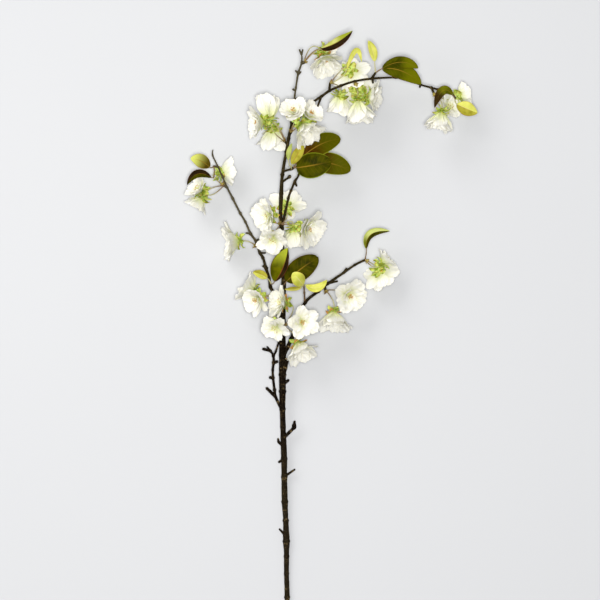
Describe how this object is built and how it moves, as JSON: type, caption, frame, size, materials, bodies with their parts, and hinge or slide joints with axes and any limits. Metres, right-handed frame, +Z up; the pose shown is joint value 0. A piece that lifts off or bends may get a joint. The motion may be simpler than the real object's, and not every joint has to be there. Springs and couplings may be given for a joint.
{
  "type": "cherry blossom spray",
  "caption": "Long cut branch of white semi-double cherry blossom, lying flat, with groups of blossoms on green stalks and dark and yellow-green leaves.",
  "frame": {"origin": "the middle of the ground that the lying branch covers, on that ground", "axes": "+Y along the stem from the cut end to the blossoms, +Z up from the ground, +X to the right"},
  "size_m": [0.3639, 0.7595, 0.0782],
  "materials": {
    "bark": "matte",
    "calyx": "satin",
    "leaf_dark": "satin",
    "leaf_olive": "satin",
    "leaf_young": "satin",
    "petal": "matte"
  },
  "bodies": {
    "root": {"branch": "bark", "stalks_tip": "calyx", "stalks_arch_near": "calyx", "stalks_arch_far": "calyx", "stalks_end": "calyx", "stalks_leader_left": "calyx", "stalks_leader": "calyx", "stalks_left_tip": "calyx", "stalks_fork": "calyx", "stalks_left": "calyx", "stalks_low_left": "calyx", "stalks_centre": "calyx", "stalks_right": "calyx", "stalks_right_tip": "calyx", "leaf_top": "leaf_dark", "leaves_arch": "leaf_dark", "leaves_leader": "leaf_dark", "leaf_right": "leaf_dark", "leaf_centre_oval": "leaf_dark", "leaves_centre": "leaf_dark", "leaves_end": "leaf_olive", "leaves_left": "leaf_olive", "leaf_strip": "leaf_young", "leaves_leader_young": "leaf_young", "leaves_yellow": "leaf_young", "bloom_tip_1": "petal", "bloom_tip_2": "petal", "bloom_arch_near_1": "petal", "bloom_arch_near_2": "petal", "bloom_arch_far_1": "petal", "bloom_arch_far_2": "petal", "bloom_arch_far_3": "petal", "bloom_end_1": "petal", "bloom_end_2": "petal", "bloom_end_3": "petal", "bloom_leader_left_1": "petal", "bloom_leader_left_2": "petal", "bloom_leader_left_3": "petal", "bloom_leader_1": "petal", "bloom_leader_2": "petal", "bloom_leader_3": "petal", "bloom_left_tip_1": "petal", "bloom_left_tip_2": "petal", "bloom_left_tip_3": "petal", "bloom_fork_1": "petal", "bloom_fork_2": "petal", "bloom_fork_3": "petal", "bloom_fork_4": "petal", "bloom_fork_5": "petal", "bloom_left_1": "petal", "bloom_low_left_1": "petal", "bloom_low_left_2": "petal", "bloom_centre_1": "petal", "bloom_centre_2": "petal", "bloom_centre_3": "petal", "bloom_centre_4": "petal", "bloom_right_1": "petal", "bloom_right_2": "petal", "bloom_right_tip_1": "petal", "bloom_right_tip_2": "petal"}
  },
  "joints": []
}
